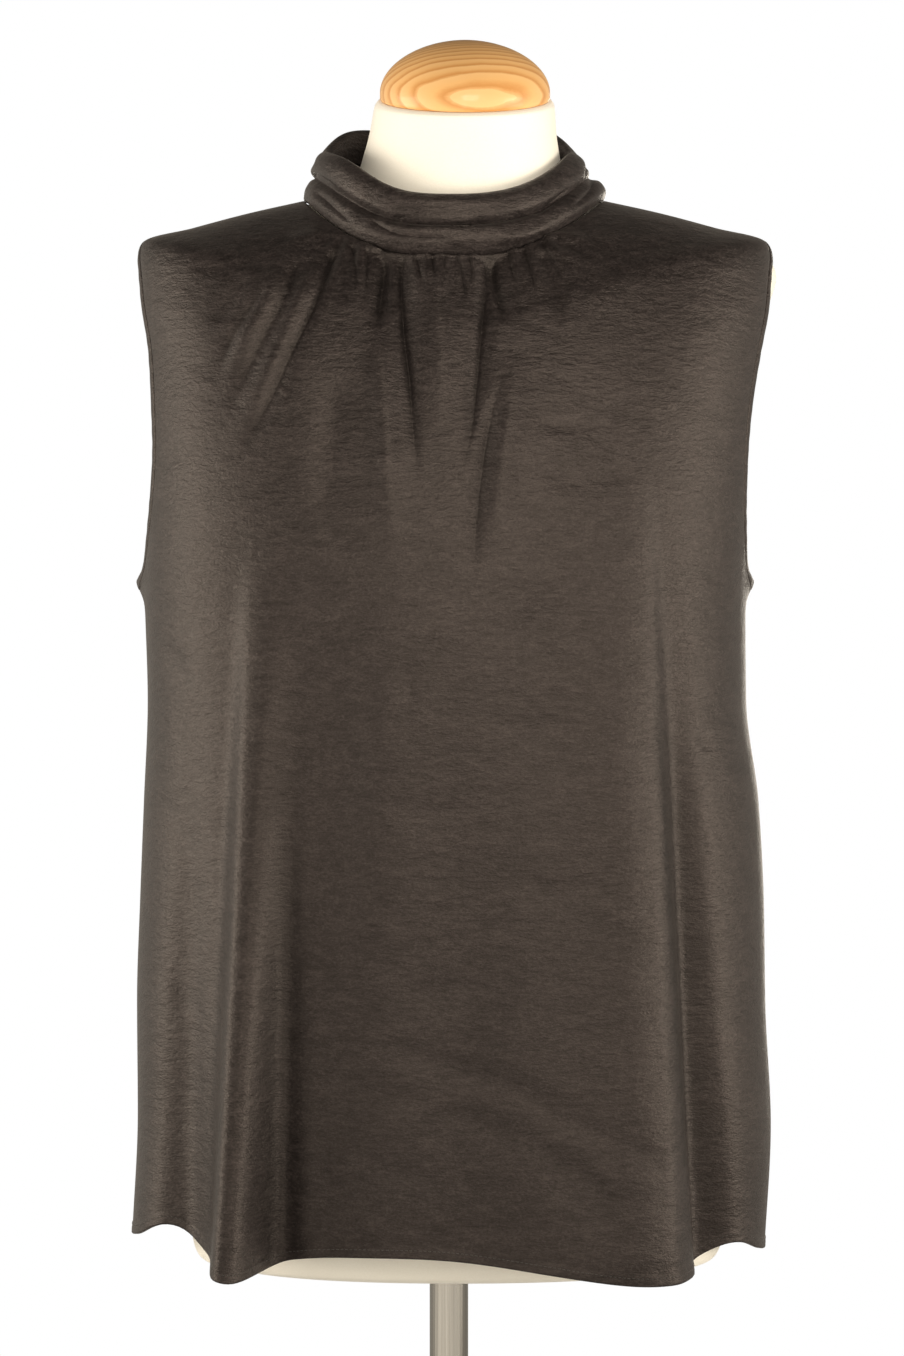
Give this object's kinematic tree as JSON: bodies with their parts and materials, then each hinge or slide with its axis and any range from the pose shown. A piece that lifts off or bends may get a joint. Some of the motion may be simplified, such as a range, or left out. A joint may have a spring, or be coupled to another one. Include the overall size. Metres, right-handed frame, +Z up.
{
  "type": "sleeveless blouse on dress form",
  "caption": "Dark crepe sleeveless blouse with a wide slouching high collar and gathered neckline, on a limbless jersey dress form with a pine neck cap and a round-base pole stand.",
  "frame": {"origin": "on the floor, at the centre of the round base plate's underside, on the pole's axis", "axes": "+Z up along the pole, the front of the blouse faces -Y, +X is the viewer's right"},
  "size_m": [0.4178, 0.34, 1.5432],
  "materials": {
    "crepe": "soft satin sheen, fine crinkle",
    "jersey": "matt knit",
    "pine": "clear lacquer",
    "chrome": "polished"
  },
  "bodies": {
    "root": {"blouse_front": "crepe", "blouse_back": "crepe", "collar": "crepe", "armhole_binding_left": "crepe", "armhole_binding_right": "crepe", "neck_button_lower": "crepe", "neck_button_upper": "crepe", "dress_form": "jersey", "neck_cap": "pine", "pole": "chrome", "base_hub": "chrome", "base_plate": "chrome"}
  },
  "joints": []
}
